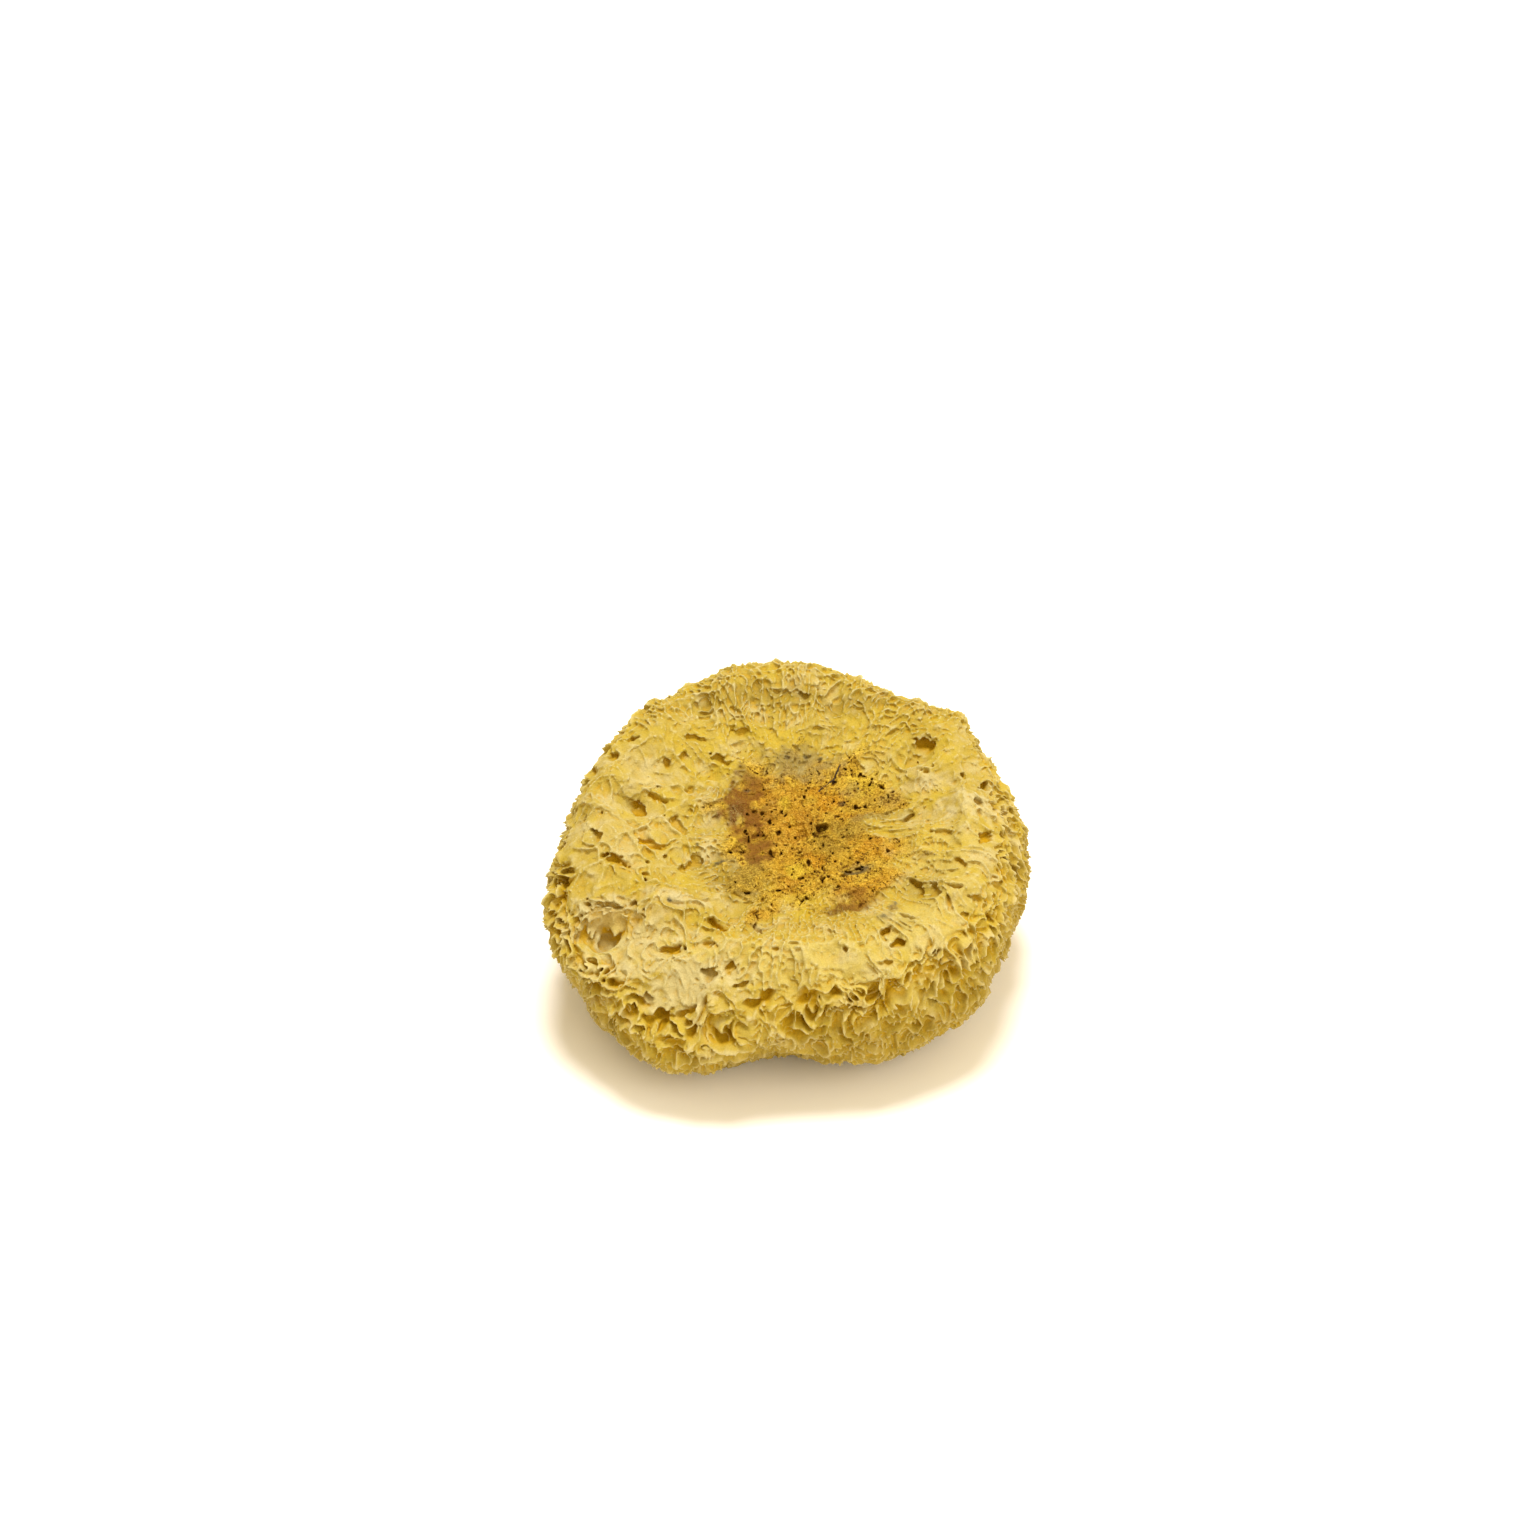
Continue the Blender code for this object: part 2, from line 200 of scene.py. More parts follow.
# Pores of the cut base, cut in and painted dark, in part as shade: place u, v and half widths across
# and up
PORES = (
    (7.3, -2, 1, 1.51), (6.1, -3.7, 0.6, 0.68), (-7.2, -3.2, 0.5, 0.49), (-6.8, -4.3, 0.26, 0.6),
    (-10.3, -8.3, 0.4, 0.49), (-7.9, -7.8, 0.26, 0.88), (-3, -7.9, 0.64, 0.6), (-0.5, -8.2, 0.24, 0.77),
    (1.5, -7.1, 0.3, 0.41), (3.1, -8.2, 0.48, 0.49), (5.5, -3.4, 0.24, 0.68), (5.5, -6.1, 0.24, 0.55),
    (-2, -6.2, 0.4, 0.38), (-3.2, 0, 0.36, 0.33), (-2.2, 2.8, 0.36, 0.38), (-1, -2.6, 0.48, 0.36),
    (3.8, 6.3, 0.48, 0.41), (3.4, 8.2, 0.24, 0.33), (4.2, 9.3, 0.24, 0.55), (5.3, 10.6, 0.26, 0.66),
    (9.9, 10.4, 0.44, 0.44), (14.6, 4.4, 0.56, 0.41), (16.4, 4.4, 0.5, 0.41), (16.1, 0.7, 0.5, 0.25),
    (12.8, 5.9, 0.3, 0.36), (11.6, 5.4, 0.3, 0.36), (5.1, -1, 0.24, 0.55), (1.7, -13.9, 0.6, 0.41),
    (3, -14.8, 0.4, 0.41), (7.1, -15.6, 0.4, 0.41), (8.3, -14.6, 0.6, 0.33), (4.8, -10.9, 0.6, 0.38),
    (3, -20.4, 0.24, 0.93), (5.3, -18.6, 0.48, 0.33), (1, -21.1, 0.36, 0.38), (6.8, -19.8, 0.3, 0.33),
    (9.6, -18.2, 0.26, 0.33), (10.4, -17.1, 0.24, 0.27), (-3.2, 17.9, 0.6, 0.36),
    (-4.2, 16.6, 0.4, 0.6), (-5.3, 17.4, 0.22, 0.82), (-3.8, 13.6, 0.28, 0.88),
    (-1.6, 14.8, 0.24, 0.44), (14, 13.1, 0.4, 0.68), (15.8, 12.7, 0.4, 0.77), (16.6, 14.3, 0.3, 0.27),
    (14.7, 10.6, 0.3, 0.55), (17.4, 10.5, 0.3, 0.66), (19.3, 9.2, 0.4, 0.44), (21.7, 7.5, 0.3, 0.49),
    (20.4, 6.1, 0.2, 0.77), (22.1, -5.7, 0.5, 0.25), (20.6, -8, 0.56, 0.27), (1.1, 17, 0.28, 0.38),
    (4.3, 18, 0.28, 0.38), (6.8, 17.7, 0.4, 0.36), (-4.8, -24.3, 0.28, 0.66), (-7.1, -18.2, 0.4, 0.25),
    (-1.1, -18, 0.4, 0.22), (-7, 1.7, 0.24, 0.27), (-7.6, 8.8, 0.4, 0.27), (14.4, -12, 0.6, 0.38),
    (13, -12.9, 0.4, 0.27), (11.8, -14, 0.6, 0.25), (13.8, -18.5, 0.24, 0.33), (-0.8, 2.7, 0.24, 0.33),
    (-4.4, 2.5, 0.2, 0.44), (0.4, 1.7, 0.28, 0.27), (1.2, -1, 0.28, 0.33), (4.3, -4.8, 0.24, 0.49),
    (2.5, -4.4, 0.28, 0.33), (-0.1, -5.9, 0.24, 0.38), (9, 2.8, 0.48, 0.27), (10.4, 2.1, 0.6, 0.27),
    (12.9, -9.8, 0.4, 0.22), (7.3, -12, 0.24, 0.38), (6, -12.9, 0.32, 0.27), (10.7, -20.5, 0.24, 0.27),
    (4.1, -19.5, 0.2, 0.55), (-0.3, -26.1, 0.24, 0.44), (16.9, -4.2, 0.2, 0.27),
)
# Single patches: place u, v and half widths across and up
MEMBRANE = (9.5, -37.2, 6.6, 3.6)  # a smooth dish of skin near the front edge
NOTCH = (21.0, -1.0, 5.0, 4.5)  # where the cut base falls short of its ellipse
# The thread on the cut base: bends at x and y of the row's frame
THREAD = ((5.6, 7.4), (7.1, 9.2), (8.5, 10.6), (9.5, 12.3), (10.0, 13.8))


# Random fields


def spectrum_noise(rng, size, waves, spread):
    """A periodic volume of noise with about this many waves across each side."""
    steps = np.fft.fftfreq(size, 1 / size)
    last = np.fft.rfftfreq(size, 1 / size)
    number = np.sqrt(
        steps[:, None, None] ** 2 + steps[None, :, None] ** 2 + last[None, None, :] ** 2
    )
    weight = np.exp(-(((number - waves) / (spread * waves)) ** 2))
    shape = (size, size, size)
    mixed = np.fft.rfftn(rng.standard_normal(shape)) * weight
    volume = np.fft.irfftn(mixed, s=shape, axes=(0, 1, 2))
    return (volume / volume.std()).astype(np.float32)


def cell_volumes(rng, size, cells):
    """Periodic volumes over random cells: distance from the walls between them, distance
    from the nearest middle, and a chance from 0 to 1 that each cell draws."""
    seeds = rng.random((cells, cells, cells, 3)).astype(np.float32)
    chances = rng.random((cells, cells, cells)).astype(np.float32)
    axis = ((np.arange(size) + 0.5) * cells / size).astype(np.float32)
    x, y, z = np.meshgrid(axis, axis, axis, indexing="ij")
    points = np.stack((x, y, z), -1)
    home = points.astype(np.int32)
    nearest = np.full(points.shape[:3], 9.0, np.float32)
    second = nearest.copy()
    chance = nearest.copy()
    for offset in np.ndindex(3, 3, 3):
        cell = home + np.array(offset, np.int32) - 1
        i, j, k = np.moveaxis(cell % cells, -1, 0)
        away = np.linalg.norm(cell + seeds[i, j, k] - points, axis=-1)
        closer = away < nearest
        second = np.minimum(second, np.where(closer, nearest, away))
        chance = np.where(closer, chances[i, j, k], chance)
        nearest = np.where(closer, away, nearest)
    return second - nearest, nearest, chance


def sample(volume, points):
    """The periodic volume's values at points, whose period is 1, by linear steps."""
    size = volume.shape[0]
    place = points.astype(np.float32) * np.float32(size)
    low = np.floor(place)
    share = place - low
    low = low.astype(np.int32) & (size - 1)
    high = (low + 1) & (size - 1)
    ends, shares = (low.T, high.T), (1 - share.T, share.T)
    flat = volume.ravel()
    result = np.zeros(len(points), np.float32)
    for i, j, k in np.ndindex(2, 2, 2):
        weight = shares[i][0] * shares[j][1] * shares[k][2]
        result += weight * flat[(ends[i][0] * size + ends[j][1]) * size + ends[k][2]]
    return result


class Fields:
    """Random periodic volumes. Lengths given to its calls are in millimetres."""

    def __init__(self):
        rng = np.random.default_rng(SEED)
        self.frills = spectrum_noise(rng, 128, 10, 0.25)
        self.smooth = spectrum_noise(rng, 64, 3, 0.6)
        self.walls, self.middles, self.chances = cell_volumes(rng, 128, 16)

    def frill(self, points, pitch):
        """0 on winding thin sheets that lie about a pitch apart, and near 1 between."""
        return np.abs(sample(self.frills, points / (pitch * 20)))

    def wave(self, points, length, turn=0.0):
        """Smooth noise of about -1 to 1, with swells of this length."""
        return sample(self.smooth, points / (length * 6) + turn) * 0.6

    def cell_edge(self, points, width):
        """0 on the walls between cells of a width, growing towards their middles."""
        return sample(self.walls, points / (width * 16))

    def cell_middle(self, points, width):
        """0 at the middles of cells of a width, growing outwards, and the cells' chances."""
        place = points / (width * 16)
        return sample(self.middles, place), sample(self.chances, place)


def smooth_step(low, high, value):
    share = np.clip((value - low) / (high - low), 0, 1)
    return share * share * (3 - 2 * share)


def mix(first, second, share):
    return first + (second - first) * share


# The solid's distance field


def read(items, name, kind):
    """Three values of each item of a mesh, as rows of an array."""
    values = np.zeros(len(items) * 3, kind)
    items.foreach_get(name, values)
    return values.reshape(-1, 3)


def arrays(mesh):
    """A mesh of triangles as points in millimetres, triangles and normals."""
    mesh.calc_loop_triangles()
    return (
        read(mesh.vertices, "co", np.float32) / MM,
        read(mesh.loop_triangles, "vertices", np.int32),
        read(mesh.vertices, "normal", np.float32),
    )


def distance_volume():
    """Distance from the solid on the grid, negative inside, and the grid's corner."""
    points, triangles, _ = arrays(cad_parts["snow_fungus"].data)
    corner = np.floor(points.min(0) - BAND_OUT - 2 * VOXEL)
    shape = np.ceil((points.max(0) + BAND_OUT + 2 * VOXEL - corner) / VOXEL).astype(int)
    grid = openvdb.FloatGrid.createLevelSetFromPolygons(
        ((points - corner) / VOXEL).astype(np.float32),
        triangles=triangles.astype(np.uint32),
        exBandWidth=BAND_OUT / VOXEL + 2,
        inBandWidth=BAND_IN / VOXEL + 2,
    )
    volume = np.zeros(tuple(shape), np.float32)
    grid.copyToArray(volume)
    return volume * VOXEL, corner


def blur(volume, steps):
    """Evens out the volume by repeated averages of near neighbours."""
    for _ in range(steps):
        for axis in range(3):
            volume = (np.roll(volume, 1, axis) + 2 * volume + np.roll(volume, -1, axis)) / 4
    return volume


def to_head(points):
    """Points of the row frame in the head's frame."""
    x, y, z = (points - FACE_CENTRE).T
    sine, cosine = math.sin(FACE_LEAN), math.cos(FACE_LEAN)
    return np.stack((x, y * cosine + z * sine, z * cosine - y * sine), -1)


# The hollows


def crest(distance, width):
    """0 on a sharp crest, rising to 1 away from it."""
    return 1 - np.exp(-distance / width)


def rounded(distance):
    """0 on a narrow rounded crest, steep beside it and gently sloping further away."""
    return 0.6 * smooth_step(0.0, 0.24, distance) + 0.75 * np.minimum(distance, 0.8)


def round_the_head(values, angle):
    """The value at each angle, on a smooth closed curve through values at equal steps."""
    values = np.array(values, float)
    count = len(values)
    place = (angle / math.tau * count) % count
    step = place.astype(int) % count
    share = place - np.floor(place)
    before, start, end, after = (values[(step + k) % count] for k in (-1, 0, 1, 2))
    leave, arrive = (end - before) / 2, (after - start) / 2
    square, cube = share**2, share**3
    return (
        (2 * cube - 3 * square + 1) * start
        + (cube - 2 * square + share) * leave
        + (3 * square - 2 * cube) * end
        + (cube - square) * arrive
    )


class Place:
    """Where points of the solid's surface lie on the head, and the regions they are in."""

    def __init__(self, fields, foot, facing):
        self.foot = foot
        u, v, w = foot.T
        self.swell = fields.wave(foot, 9.0, 0.3)
        self.warp = fields.wave(foot, 7.0, 0.7)
        self.rough = smooth_step(-0.5, 0.5, fields.wave(foot, 8.0, 0.05))
        self.lean = np.stack([fields.wave(foot, 3.5, turn) for turn in (0.2, 0.55, 0.9)], -1)
        self.angle = np.arctan2(v, u)
        edge = np.hypot(u, v) / round_the_head(EDGE_RADIUS, self.angle)
        self.edge = edge + 0.035 * self.swell
        x, y = u - SCAR_CENTRE[0], v - SCAR_CENTRE[1]
        self.spin = np.arctan2(y, x)
        self.out = np.hypot(x, y)
        reach = self.away_from(*SCAR_CENTRE, *SCAR_RADII)
        self.reach = reach + 0.16 * fields.wave(foot, 6.0) + 0.10 * fields.wave(foot, 2.2, 0.4)
        self.reach += 0.5 * self.patch(*NOTCH)
        self.on_top = smooth_step(0.1, 0.4, facing)
        self.scar = (1 - smooth_step(0.88, 1.04, self.reach)) * self.on_top
        self.flank = np.maximum(smooth_step(0.91, 1.0, self.edge), 1 - self.on_top)
        self.low = smooth_step(2.0, 14.0, round_the_head(EDGE_HEIGHT, self.angle) - w)
        self.under = 1 - smooth_step(-0.75, -0.35, facing)

    def pick(self, chosen):
        """The same places, of the chosen points alone."""
        other = object.__new__(Place)
        for name, values in vars(self).items():
            setattr(other, name, values[chosen])
        return other

    def away_from(self, u, v, across, up):
        """Distance from a spot of the face, 1 on the ellipse with these half widths."""
        return np.hypot((self.foot[:, 0] - u) / across, (self.foot[:, 1] - v) / up)

    def patch(self, *spot):
        """1 in a patch of the face with a wavy outline, and 0 outside it."""
        return 1 - smooth_step(0.75, 1.1, self.away_from(*spot) + 0.3 * self.warp)

    def drawn_out(self, count, length, twist=0, bent=0.5):
        """Coordinates for cells of size 1: this many round the cut base, and this long."""
        turn = self.spin / math.tau
        around = turn * count + 0.7 * self.warp
        away = (self.out + 2.5 * self.warp) / length + turn * twist
        level = 20 + 0.12 * self.foot[:, 2] + bent * self.lean[:, 0]
        return np.stack((around, away, level), -1)


def frill_hollow(fields, place, depth):
    """The hollows between the curled thin lobes of the rim, flank and dome."""
    foot = place.foot
    lean = np.stack([fields.wave(foot, 4.0, turn) for turn in (0.1, 0.45, 0.8)], -1)
    curled = foot + lean * (1.0 + 0.3 * depth[:, None])
    broad = smooth_step(0.20, 0.9, fields.frill(curled, LOBE_PITCH))
    fine = smooth_step(0.16, 0.8, fields.frill(curled + 40, FRILL_PITCH))
    cells = rounded(fields.cell_edge(curled + 9, LOBE_CELL))
    lobes = fields.wave(foot, 6.0, 0.6)
    deep = (1.35 + 0.9 * lobes) * broad + 0.45 * cells + 0.6 * fine
    shallow = (0.9 + 0.6 * lobes) * broad + 0.35 * cells + 0.75 * fine
    tips = 0.25 + 0.5 * fields.wave(foot, 3.0, 0.2)
    far = smooth_step(18.0, 30.0, foot[:, 1])
    pressed = (1 - 0.5 * place.under) * (1 - 0.3 * far)
    return (mix(deep, shallow, place.low) + np.maximum(tips, 0)) * pressed


def folds(fields, points, pitch, width=0.25):
    """0 on thin winding folds about a pitch apart, and 1 on the smooth skin between."""
    return crest(fields.frill(points, pitch), width)


def holes(fields, place, cells, width, size, least, ragged=0.12):
    """1 in holes at the middles of some cells, and 0 outside them.

    size is where a hole's wall starts and ends, as shares of a cell's width, and a cell has
    a hole where its chance is above the least.
    """
    near, chance = fields.cell_middle(cells, width)
    near += ragged * fields.wave(place.foot, 0.9, 0.8)
    return (1 - smooth_step(*size, near)) * (chance > least)


def stars(fields, place):
    """Smooth facets between thin ridges that meet in stars, and a few deep holes."""
    bent = place.foot + place.lean * 1.1
    uneven = fields.cell_middle(bent, FACET)[1]
    walls = rounded(fields.cell_edge(bent, FACET)) * (0.4 + 0.4 * place.rough + 0.8 * uneven**2)
    small = rounded(fields.cell_edge(bent + 21, SMALL_FACET)) * (0.15 + 0.35 * place.rough)
    hole = 1.7 * holes(fields, place, bent, 3.0, (0.05, 0.26), 0.78)
    lines = 0.25 * folds(fields, bent + 11, 2.4, 0.15)
    calm = place.patch(-26, 18, 18, 14)
    return (walls + small + hole) * (1 - 0.4 * calm) + lines


def streaks(fields, place):
    """Long folds that run out from the cut base, with slits between them."""
    broad = rounded(0.45 * fields.frill(place.drawn_out(STREAKS_ROUND, 11.0, bent=0.15), 1.0))
    narrow = rounded(0.5 * fields.frill(place.drawn_out(FINE_STREAKS_ROUND, 7.0, bent=0.25) + 7.3, 1.0))
    drawn = place.drawn_out(STREAKS_ROUND, 7.0, bent=0.2)
    walls = rounded(fields.cell_edge(drawn, 1.0))
    slit = 0.75 * holes(fields, place, drawn, 1.0, (0.10, 0.28), 0.80, 0.10)
    return 0.5 * broad + 0.5 * narrow + 0.15 * walls + slit


def fluff(fields, place):
    """Short fine ridges close together, most of them running outwards."""
    ridges = rounded(0.5 * fields.frill(place.drawn_out(FINE_STREAKS_ROUND, 4.0), 1.0))
    curls = rounded(0.5 * fields.frill(place.foot + place.lean + 31, 1.4))
    hole = 1.4 * holes(fields, place, place.drawn_out(STREAKS_ROUND, 2.6), 1.0, (0.12, 0.28), 0.84)
    return 0.8 * ridges + 0.5 * curls + hole


def thick_folds(fields, place):
    """Broad soft folds of membrane."""
    bent = place.foot + place.lean * 2.0
    swells = rounded(0.4 * fields.frill(bent + 5, 3.2))
    small = rounded(fields.cell_edge(bent + 21, 3.4))
    return 0.95 * swells + 0.4 * small + 0.25 * folds(fields, bent + 31, 2.0, 0.2)


def membrane(fields, place):
    """A smooth dish of skin behind a raised edge, with faint lines that fan out."""
    inside = 1 - smooth_step(0.0, 0.95, place.away_from(*MEMBRANE) + 0.15 * place.lean[:, 1])
    lines = folds(fields, place.drawn_out(120, 14.0, bent=0.0), 1.0)
    return (0.9 + 0.4 * lines) * inside + 0.1 * lines


def flutes(fields, place):
    """Ridges down the far rim's inner slope."""
    around = place.angle / math.tau * FLUTES_ROUND + 0.6 * place.warp
    away = np.hypot(place.foot[:, 0], place.foot[:, 1]) / 5.0 + 0.5 * place.lean[:, 1]
    drawn = np.stack((around, away, 5 + 0.5 * place.lean[:, 0]), -1)
    walls = rounded(fields.cell_edge(drawn, 1.0))
    curls = rounded(0.4 * fields.frill(place.foot + place.lean + 17, 1.6))
    return walls + 0.6 * curls


def ropes(fields, place):
    """Rounded folds that swirl along the outline of the cut base."""
    drawn = place.drawn_out(ROPES_ROUND, 1.5, twist=16)
    return 1.2 * smooth_step(0.0, 0.5, fields.cell_edge(drawn, 1.0)) + 0.2


def face_hollow(fields, place, depth):
    """The hollows of the face, whose folds differ from region to region."""
    u, v = place.foot[:, 0], place.foot[:, 1]
    upper_left = smooth_step(-0.1, 0.5, np.cos(place.spin - 2.5) + 0.3 * place.warp)
    low = streaks(fields, place)
    for share, pattern in (
        (smooth_step(-0.3, 0.3, -(u + 8) / 30 + 0.5 * place.swell), stars),
        (place.patch(-1, -32, 24, 11), fluff),
        (place.patch(33, 10, 14, 12) * 0.6, stars),
        (place.patch(-25, -29, 15, 13) * 0.85, thick_folds),
        (smooth_step(20.0, 25.0, v + 3 * place.swell), flutes),
        (upper_left * (1 - smooth_step(1.12, 1.35, place.reach)) * 0.8, ropes),
        (place.patch(-14.5, -9.0, 4.5, 9.0) * 0.9, fluff),
        (place.patch(*MEMBRANE) * 0.75, membrane),
    ):
        chosen = share > 0.01
        low[chosen] = mix(low[chosen], pattern(fields, place.pick(chosen)), share[chosen])
    fine = crest(fields.frill(place.foot + place.lean + 25, 1.0), 0.35)
    wrinkles = 0.25 * folds(fields, place.foot + 1.5 * place.lean + 37, 1.6)
    away = smooth_step(1.0, 1.5, place.reach)
    return low * (0.5 + 0.36 * away) + fine * (0.6 - 0.45 * away) + wrinkles


def pores(fields, place):
    """1 in the pores of the cut base, and 0 outside them."""
    foot = place.foot
    ragged = np.stack([fields.wave(foot, 0.7, turn) for turn in (0.0, 0.35, 0.7)], -1)
    bent = foot + 0.45 * ragged
    clustered = smooth_step(-0.3, 0.5, fields.wave(foot, 3.6, 0.15))
    near, chance = fields.cell_middle(bent, 1.0)
    small = (1 - smooth_step(0.20, 0.38, near)) * (chance < 0.03 + 0.45 * clustered)
    near, chance = fields.cell_middle(bent * (1, 1.5, 1) + 9, 2.0)
    large = (1 - smooth_step(0.10, 0.22, near)) * (chance < 0.02 + 0.16 * clustered)
    found = np.maximum(small, large)
    for u, v, across, up in PORES:
        x, y = bent[:, 0] - u, bent[:, 1] - v
        near = np.flatnonzero((np.abs(x) < across + 0.4) & (np.abs(y) < up + 0.4))
        away = np.hypot(x[near] / (across + 0.06), y[near] / (up + 0.06))
        found[near] = np.maximum(found[near], 1 - smooth_step(0.6, 1.15, away))
    return found


def scar_hollow(fields, place, depth):
    """The cut base: a felt of short fibres, with pores in clusters."""
    foot = place.foot
    felt = crest(fields.frill(foot + 3, 0.85), 0.5)
    knots = fields.wave(foot, 1.4, 0.5)
    lumps = fields.wave(foot, 3.2, 0.35)
    return 0.6 + 0.35 * felt + 0.25 * knots + 0.35 * lumps + 1.2 * pores(fields, place)


def pits(fields, place, low):
    """The hollows with the named pits and pockets added."""
    top = np.flatnonzero(place.on_top > 0.5)
    foot = place.foot[top]
    ragged = 0.30 * fields.wave(foot, 1.6, 0.6) + 0.22 * fields.wave(foot, 0.7, 0.1)
    for pit_u, pit_v, length, width, turn, depth in PITS:
        x, y = foot[:, 0] - pit_u, foot[:, 1] - pit_v
        near = np.flatnonzero((np.abs(x) < length + 1) & (np.abs(y) < length + 1))
        turn = math.radians(turn)
        x, y = x[near], y[near]
        along = (x * math.cos(turn) + y * math.sin(turn)) / length
        across = (y * math.cos(turn) - x * math.sin(turn)) / width
        # The wall up the face is steep, and the wall down the face slopes.
        steep = np.hypot(along, across) + ragged[near]
        inside = 1 - smooth_step(0.35 + 0.25 * (y > 0), 1.0, steep)
        own = top[near]
        low[own] = low[own] * (1 - 0.45 * inside) + 0.85 * depth * inside
    rim = np.flatnonzero(place.flank > 0.05)
    foot = place.foot[rim]
    for *middle, radius, depth in POCKETS:
        away = foot - np.array(middle, np.float32)
        near = np.flatnonzero((np.abs(away) < radius + 1).all(1))
        away = away[near]
        ragged = 0.3 * fields.wave(foot[near], 1.6, 0.6)
        inside = 1 - smooth_step(0.4, 1.05, np.linalg.norm(away, axis=1) / radius + ragged)
        own = rim[near]
        low[own] = low[own] * (1 - 0.4 * inside) + depth * inside
    return low


def hollows(fields, place, depth):
    """How far below the solid's surface the fungus lies, at points of that surface.

    depth is how far below the surface each point of the field is.
    """
    low = np.zeros(len(depth), np.float32)
    for share, hollow in (
        (place.flank, frill_hollow),
        ((1 - place.flank) * (1 - place.scar), face_hollow),
        ((1 - place.flank) * place.scar, scar_hollow),
    ):
        chosen = share > 0
        low[chosen] += share[chosen] * hollow(fields, place.pick(chosen), depth[chosen])
    return np.maximum(pits(fields, place, low), 0)


# The mesh


class Solid:
    """The CAD solid's evened distance field on the grid."""

    def __init__(self):
        volume, self.corner = distance_volume()
        self.inside = (volume > -BAND_IN) & (volume < BAND_OUT)
        self.distance = blur(volume, 4)
        self.slope = np.stack(np.gradient(self.distance, VOXEL), -1)

    def place(self, fields, points, distance, normal):
        """The places of the surface's points that these points lie under.

        A hollow runs up the head as it deepens, so that its upper lip hangs over it.
        """
        normal = normal / (np.linalg.norm(normal, axis=1, keepdims=True) + 1e-6)
        foot = to_head(points - normal * distance[:, None])
        out = to_head(normal + FACE_CENTRE)
        slant = mix(SLANT_ON_SIDE, SLANT_ON_TOP, smooth_step(0.0, 0.6, out[:, 2:]))
        along = slant - out * (out * slant).sum(1)[:, None]
        foot = (foot + along * distance[:, None]).astype(np.float32)
        return Place(fields, foot, out[:, 2])

    def values(self, volume, points):
        """The grid volume's values at points, by linear steps."""
        place = (points - self.corner) / VOXEL
        low = np.clip(np.floor(place).astype(int), 0, np.array(volume.shape[:3]) - 2)
        share = (place - low).astype(np.float32)
        result = 0
        for corner in np.ndindex(2, 2, 2):
            weight = np.prod(np.abs(1 - np.array(corner) - share), axis=1)
            found = volume[tuple((low + corner).T)]
            result = result + (weight * found.T).T
        return result


def grow(fields, solid):
    """The fungus's surface: points in millimetres, triangles and quads."""
    cells = np.argwhere(solid.inside).astype(np.int16)
    distance = solid.distance[solid.inside]
    slope = solid.slope[solid.inside]
    low = np.zeros(len(cells), np.float32)
    for start in range(0, len(cells), TURN):
        turn = slice(start, start + TURN)
        points = cells[turn] * VOXEL + solid.corner
        place = solid.place(fields, points, distance[turn], slope[turn])
        low[turn] = hollows(fields, place, -distance[turn])
    field = np.where(solid.distance < 0, np.float32(-3.0), np.float32(3.0))
    field[solid.inside] = np.minimum(distance + CORE_DEPTH, distance + low)
    # The lobes that carry the head are pressed flat on the surface below.
    height = np.arange(field.shape[2]) * VOXEL + solid.corner[2]
    field = np.maximum(field, -height[None, None, :])
    grid = openvdb.FloatGrid(3.0)
    grid.copyFromArray(field.astype(np.float32))
    places, triangles, quads = grid.convertToPolygons(isovalue=0.0, adaptivity=0.0)
    return places * VOXEL + solid.corner, triangles, quads


def add_object(name, data):
    body = bpy.data.objects.new(name, data)
    bpy.context.scene.collection.objects.link(body)
    return body


def make_mesh(name, points, triangles, quads=np.zeros((0, 4), np.int32)):
    mesh = bpy.data.meshes.new(name)
    mesh.vertices.add(len(points))
    mesh.vertices.foreach_set("co", (points * MM).astype(np.float32).ravel())
    loops = np.concatenate((triangles.ravel(), quads.ravel())).astype(np.int32)
    sizes = np.repeat((3, 4), (len(triangles), len(quads)))
    mesh.loops.add(len(loops))
    mesh.loops.foreach_set("vertex_index", loops)
    mesh.polygons.add(len(sizes))
    mesh.polygons.foreach_set("loop_start", (np.cumsum(sizes) - sizes).astype(np.int32))
    mesh.update(calc_edges=True)
    mesh.shade_smooth()
    return mesh


def thin_out(points, triangles, quads):
    """The same surface with fewer triangles, where it is smoothest first."""
    mesh = make_mesh("dense", points, triangles, quads)
    body = add_object("dense", mesh)
    modifier = body.modifiers.new("fewer", "DECIMATE")
    modifier.ratio = min(1.0, MOST_TRIANGLES / (len(triangles) + 2 * len(quads)))
    shapes = bpy.context.evaluated_depsgraph_get()
    fewer = bpy.data.meshes.new_from_object(body.evaluated_get(shapes))
    result = arrays(fewer)
    bpy.data.objects.remove(body)
    bpy.data.meshes.remove(mesh)
    bpy.data.meshes.remove(fewer)
    return result


def largest_part(count, triangles):
    """Which of the triangles belong to the largest connected surface."""
    label = np.arange(count)
    while True:
        least = label[triangles].min(1)
        new = label.copy()
        for corner in range(3):
            np.minimum.at(new, triangles[:, corner], least)
        new = new[new]
        if (new == label).all():
            break
        label = new
    owner = label[triangles[:, 0]]
    names, sizes = np.unique(owner, return_counts=True)
    return owner == names[sizes.argmax()]


# Colours


